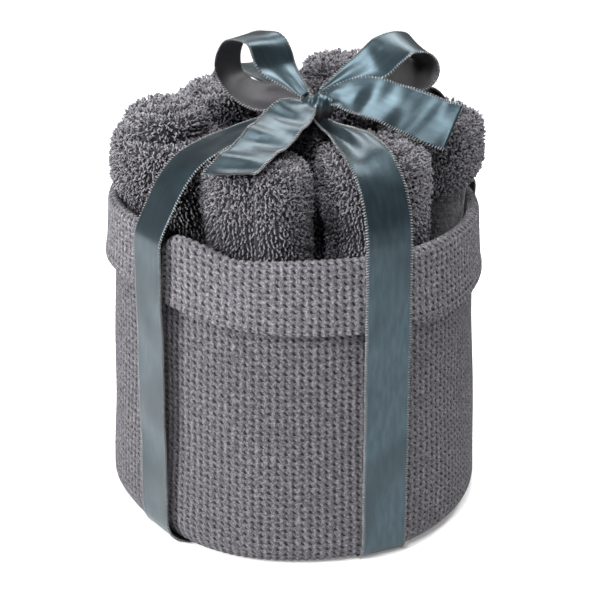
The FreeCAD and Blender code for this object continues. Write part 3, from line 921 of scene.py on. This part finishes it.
def upper_back_left(seat):
    return [(seat - 0.8, RIM + 5, 0, 0, 18, 0, 0), (seat - 2, RIM + 16, 0, 0, 18, 0.1, 0),
            (seat - 7, 150.0, 0, 0, 18, 0.2, 0), (seat - 17, 160.0, 0, 0, 18, 0.3, 0.1),
            (seat - 34, 163.5, 0, 0, 17, 0.5, 0.3), (24, 163.0, 0, 0, 13, 0.6, 0.8),
            (13, 160.5, 0, 0, 9, 0.5, 1.0), (4, 160.0, 0, 0, 6, 0.3, 0.8)]


def upper_back_right(seat):
    return [(seat - 3, RIM + 5, 0, 0, 18, 0, 0), (seat - 8, RIM + 16, 0, 0, 18, 0.1, 0),
            (seat - 13, 150.0, 0, 0, 18, 0.2, 0), (seat - 21, 160.0, 0, 0, 18, 0.3, 0.1),
            (seat - 35, 163.5, 0, 0, 17, 0.5, 0.3), (24, 163.0, 0, 0, 13, 0.6, 0.8),
            (13, 160.5, 0, 0, 9, 0.5, 1.0), (4, 160.0, 0, 0, 6, 0.3, 0.8)]


LOWER_RUN, UPPER_RUN = 0.15, 0.75       # heights of the two runs that cross under the base
RUN_LIFT = 0.22         # from those heights up to a run's middle
leg("ribbon_leg_front_left", LOWER_RUN, upper_front_left, 31)
leg("ribbon_leg_front_right", UPPER_RUN, upper_front_right, 32)
leg("ribbon_leg_back_right", LOWER_RUN, upper_back_right, 33)
leg("ribbon_leg_back_left", UPPER_RUN, upper_back_left, 34)


def base_run(node, azimuth, low_z, seed):
    """A flat run across the underside, between two opposite legs."""
    d = heading(azimuth)
    ends = -reach_of(node, azimuth + 180), reach_of(node, azimuth)
    rows = [(*along(azimuth, rho, low_z + RUN_LIFT), -d[1], d[0], 0.0, RIBBON_W, 0.0, 0.0)
            for rho in np.linspace(*ends, 7)]
    satin, edge, length = ribbon(node, rows, face=-1, seed=seed)
    for piece in (satin, edge):
        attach(piece, "basket")


base_run("ribbon_run_lower", FRONT_LEFT, LOWER_RUN, 41)
base_run("ribbon_run_upper", FRONT_RIGHT, UPPER_RUN, 42)

# ---------------------------------------------------------------- bow


def bow_piece(node, stations, **options):
    """A loop or a tail. Its stations are given from the knot's centre."""
    rows = [(x + KNOT[0], y + KNOT[1], z + KNOT[2], *rest) for x, y, z, *rest in stations]
    satin, edge, length = ribbon(node, rows, **options)
    for piece in (satin, edge):
        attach(piece, "bow")


bow_piece("bow_loop_left", [
    (-3.0, 1.5, 5.0, 0.75, 0.62, 0.1, 5, 0.3, 0.6), (-7.0, 4.0, 8.5, 0.84, 0.53, 0.0, 10, 0.5, 0.5),
    (-13.3, 8.0, 14.3, 0.84, 0.53, -0.05, 17, 0.3, 0.2), (-17.4, 11.0, 22.3, 0.76, 0.64, 0.03, 18, 0.1, 0),
    (-22.7, 14.0, 24.4, 0.55, 0.83, 0, 18, 0, 0), (-28.8, 17.0, 23.0, 0.50, 0.86, -0.05, 18, 0, 0),
    (-32.2, 19.0, 15.5, 0.50, 0.86, -0.05, 18, 0, 0), (-31.0, 18.5, 8.0, 0.50, 0.86, -0.05, 18, 0, 0),
    (-24.6, 14.0, 3.6, 0.40, 0.87, 0.18, 18, 0.1, 0), (-15.8, 8.0, 2.4, 0.34, 0.86, 0.32, 17, 0.4, 0.3),
    (-7.2, 3.0, 3.2, 0.40, 0.88, 0.1, 10, 0.5, 0.6), (-3.0, 1.0, 4.4, 0.40, 0.88, 0.1, 5, 0.3, 0.6)],
    face=-1, pleats=1.5, seed=51)

bow_piece("bow_loop_right", [
    (3.5, 2.0, 6.2, -0.50, 0.75, 0.40, 4, 0.3, 0.5), (13.0, 6.4, 10.8, -0.52, 0.72, 0.45, 10, 0.5, 0.4),
    (22.1, 10.6, 14.4, -0.53, 0.70, 0.47, 16, 0.3, 0.1), (27.4, 13.0, 18.8, -0.45, 0.80, 0.40, 18, 0.1, 0),
    (33.0, 16.0, 21.4, -0.34, 0.90, 0.25, 18, 0, 0), (38.8, 18.0, 20.6, -0.36, 0.86, 0.20, 18, 0, 0),
    (42.0, 19.0, 16.4, -0.46, 0.80, 0.20, 18, 0, 0), (42.0, 19.0, 11.6, -0.50, 0.78, 0.30, 18, 0, 0),
    (38.8, 18.0, 8.8, -0.48, 0.76, 0.42, 18, 0, 0), (31.0, 14.0, 6.8, -0.46, 0.80, 0.38, 17, 0.2, 0),
    (20.0, 9.4, 4.2, -0.45, 0.85, 0.30, 15, 0.4, 0.3), (10.0, 5.6, 2.8, -0.45, 0.85, 0.20, 8, 0.4, 0.4),
    (4.0, 2.4, 3.4, -0.45, 0.85, 0.20, 5, 0.3, 0.6)],
    face=1, pleats=1.5, seed=52)

bow_piece("bow_tail_right", [
    (3.5, -0.5, 4.2, 0.3, 0.6, 0.6, 5, 0.3, 0.6), (8.0, -1.2, 5.6, 0.3, 0.65, 0.65, 10, 0.6, 0.5),
    (13.6, -2.2, 6.0, 0.3, 0.70, 0.65, 14.5, 0.7, 0.1), (20.5, -4.2, 5.9, 0.3, 0.72, 0.62, 17.5, 0.5, 0),
    (33.5, -8.5, 2.6, 0.32, 0.62, 0.70, 18, 0.2, 0), (43.6, -12.0, -1.0, 0.35, 0.45, 0.80, 18, 0, 0),
    (51.0, -14.4, -2.6, 0.37, 0.42, 0.82, 18, 0, 0)],
    face=1, slant=1.5, waves=[(0.42, 19.0, 1.0, 0.35), (0.16, 9.7, 2.2, -0.45)], pleats=1.2, seed=53)

bow_piece("bow_tail_left", [
    (-2.0, -3.0, 3.6, 0.80, -0.40, -0.2, 6, 0.3, 0.6), (-4.6, -7.0, 3.4, 0.80, -0.45, -0.2, 12, 0.5, 0.25),
    (-8.8, -14.0, 1.8, 0.80, -0.50, -0.2, 17, 0.6, 0),
    (-14.0, -24.0, -1.2, 0.80, -0.53, -0.15, 18, 0.4, 0),
    (-20.2, -35.5, -4.0, 0.80, -0.55, -0.1, 18, 0.3, 0),
    (-25.6, -45.0, -6.2, 0.80, -0.55, -0.05, 18, 0.2, 0),
    (-30.0, -51.5, -8.4, 0.80, -0.55, 0.0, 18, 0, 0)],
    face=1, slant=-6.0, waves=[(0.55, 21.0, 0.4, 0.35), (0.2, 9.5, 1.2, -0.3)], pleats=1.2, seed=54)


def knot_piece():
    """The wrap round the middle: gathered satin over the loops, its reverse below in front."""
    rows, cols = 48, 34
    turn = np.linspace(0, 2 * math.pi, rows, endpoint=False)
    t = np.linspace(-0.998, 0.998, cols)
    ss, tt = np.meshgrid(turn, t, indexing="ij")
    belly = np.sqrt(1 - tt ** 2)
    folds = (0.50 * np.sin(tt * 8.0 + 0.8 * np.sin(ss)) + 0.28 * np.sin(tt * 14 + ss)) * belly
    x = KNOT[0] + 0.8 + tt * 7.0 + 1.1 * np.sin(ss) * belly
    y = KNOT[1] - 1.6 + (5.4 * belly + folds * 0.8) * np.cos(ss)
    z = KNOT[2] + 0.3 + (6.4 * belly + folds) * np.sin(ss) + 0.5 * tt
    points = np.stack([x, y, z], 2).reshape(-1, 3)
    quads, qi, qj = grid_faces(rows, cols, True, False)
    low_front = (np.cos(turn) < 0.1) & (np.sin(turn) < 0.30)
    index = np.where(low_front[qi[:, 0] % rows], 1, 0)
    uv = np.stack([t[qj] * 9, turn[qi % rows] * 6], 2)
    return make_object("bow_knot_satin", points, quads, [SATIN, REVERSE], index, uv)


knot = knot_piece()
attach(knot, "bow")
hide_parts("bow_knot")

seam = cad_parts["base_seam_thread"]
seam.data.materials.clear()
seam.data.materials.append(THREAD)

# ---------------------------------------------------------------- floor, lights, camera


def floor():
    """A wide white floor, a little self-lit so that it stays pale."""
    mesh = bpy.data.meshes.new("floor")
    size = 3.0
    corners = [(-size, -size, 0), (size, -size, 0), (size, size, 0), (-size, size, 0)]
    mesh.from_pydata(corners, [], [(0, 1, 2, 3)])
    m = Nodes("floor")
    tone = m.mix(m.noise(3.0, 1, 0.5), (0.86, 0.86, 0.86), (0.88, 0.88, 0.88))
    m.link(tone, m.shader.inputs["Base Color"])
    m.shader.inputs["Roughness"].default_value = 0.9
    m.shader.inputs["Specular IOR Level"].default_value = 0.1
    m.shader.inputs["Emission Color"].default_value = (1, 1, 1, 1)
    m.shader.inputs["Emission Strength"].default_value = 0.22
    mesh.materials.append(m.material)
    obj = bpy.data.objects.new("floor", mesh)
    bpy.context.scene.collection.objects.link(obj)


def area_light(name, place, target, size, power):
    """A square softbox that faces a target, with its size in metres and its power in watts."""
    data = bpy.data.lights.new(name, "AREA")
    data.shape = "SQUARE"
    data.size = size
    data.energy = power
    obj = bpy.data.objects.new(name, data)
    bpy.context.scene.collection.objects.link(obj)
    obj.location = place
    away = obj.location - Vector(target)
    obj.rotation_euler = away.to_track_quat("Z", "Y").to_euler()


floor()
area_light("key", (-1.02, -0.60, 0.60), (0, 0, 0.09), 0.36, 28)
area_light("overhead", (-0.02, -0.12, 1.40), (0, 0, 0.15), 0.30, 12)
area_light("front_top", (-0.12, -0.80, 1.05), (0, 0, 0.15), 0.33, 9)
area_light("back", (0.0, 0.80, 0.98), (0, 0, 0.15), 0.34, 5)
area_light("side_back", (0.62, 0.40, 0.95), (0, 0, 0.15), 0.30, 8)
area_light("fill", (0.45, -1.15, 0.45), (0, 0, 0.08), 0.9, 0.4)

world = bpy.data.worlds.new("studio")
bpy.context.scene.world = world
world.use_nodes = True
background = world.node_tree.nodes["Background"]
background.inputs["Color"].default_value = (1, 1, 1, 1)
background.inputs["Strength"].default_value = 0.13

camera_data = bpy.data.cameras.new("camera")
camera = bpy.data.objects.new("camera", camera_data)
bpy.context.scene.collection.objects.link(camera)
ELEVATION = math.radians(21.75)
DISTANCE = 0.70
AIM = (0.00055, 0.0, 0.0801)
camera.location = (
    AIM[0],
    AIM[1] - DISTANCE * math.cos(ELEVATION),
    AIM[2] + DISTANCE * math.sin(ELEVATION),
)
camera.rotation_euler = (math.pi / 2 - ELEVATION, 0, 0)
camera_data.sensor_width = 36
camera_data.lens = 108.4
camera_data.clip_start = 0.01
bpy.context.scene.camera = camera
bpy.context.scene.view_settings.view_transform = "Standard"
